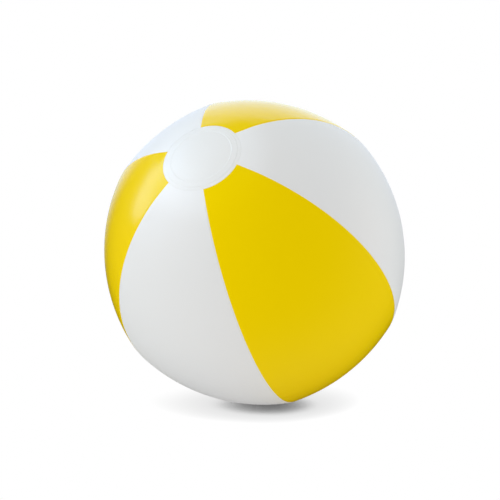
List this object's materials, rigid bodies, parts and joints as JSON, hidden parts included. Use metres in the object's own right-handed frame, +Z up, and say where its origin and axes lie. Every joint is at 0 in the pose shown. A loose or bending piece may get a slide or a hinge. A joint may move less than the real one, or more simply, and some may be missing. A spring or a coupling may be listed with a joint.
{
  "type": "inflatable beach ball",
  "caption": "Inflatable ball of welded film gores in alternating yellow and white, with a round cap at each pole and a sunk air valve with a plug, lying on the floor.",
  "frame": {"origin": "on the floor, straight below the ball's centre and inside the small flat that the ball rests on", "axes": "+Z up; the cap that shows leans from upright towards -Y, and the capped valve points down towards +Y"},
  "size_m": [0.2744, 0.2764, 0.2747],
  "materials": {
    "yellow_film": "satin",
    "white_film": "satin",
    "cap_film": "satin",
    "valve_vinyl": "satin",
    "plug_vinyl": "satin"
  },
  "bodies": {
    "ball": {"yellow_gore_1": "yellow_film", "yellow_gore_2": "yellow_film", "yellow_gore_3": "yellow_film", "white_gore_1": "white_film", "white_gore_2": "white_film", "white_gore_3": "white_film", "top_cap": "cap_film", "valve_cap": "cap_film", "valve_base": "valve_vinyl", "valve_skirt": "valve_vinyl"},
    "stem": {"valve_stem": "valve_vinyl", "plug_strap": "plug_vinyl"},
    "plug": {"valve_plug": "plug_vinyl"},
    "flap": {"check_flap": "valve_vinyl"}
  },
  "joints": [
    {"name": "stem_slide", "type": "slide", "parent": "ball", "child": "stem", "axis": [0, 0.7242, -0.6896], "range_m": [0, 0.014], "deforming": ["valve_skirt"]},
    {"name": "plug_pull", "type": "slide", "parent": "stem", "child": "plug", "axis": [0, 0.7242, -0.6896], "range_m": [0, 0.01], "deforming": ["plug_strap"]},
    {"name": "flap_open", "type": "hinge", "parent": "stem", "child": "flap", "pos_m": [-0.00389, 0.08923, 0.04971], "axis": [0.3778, -0.6385, -0.6705], "range_deg": [0, 60]}
  ]
}
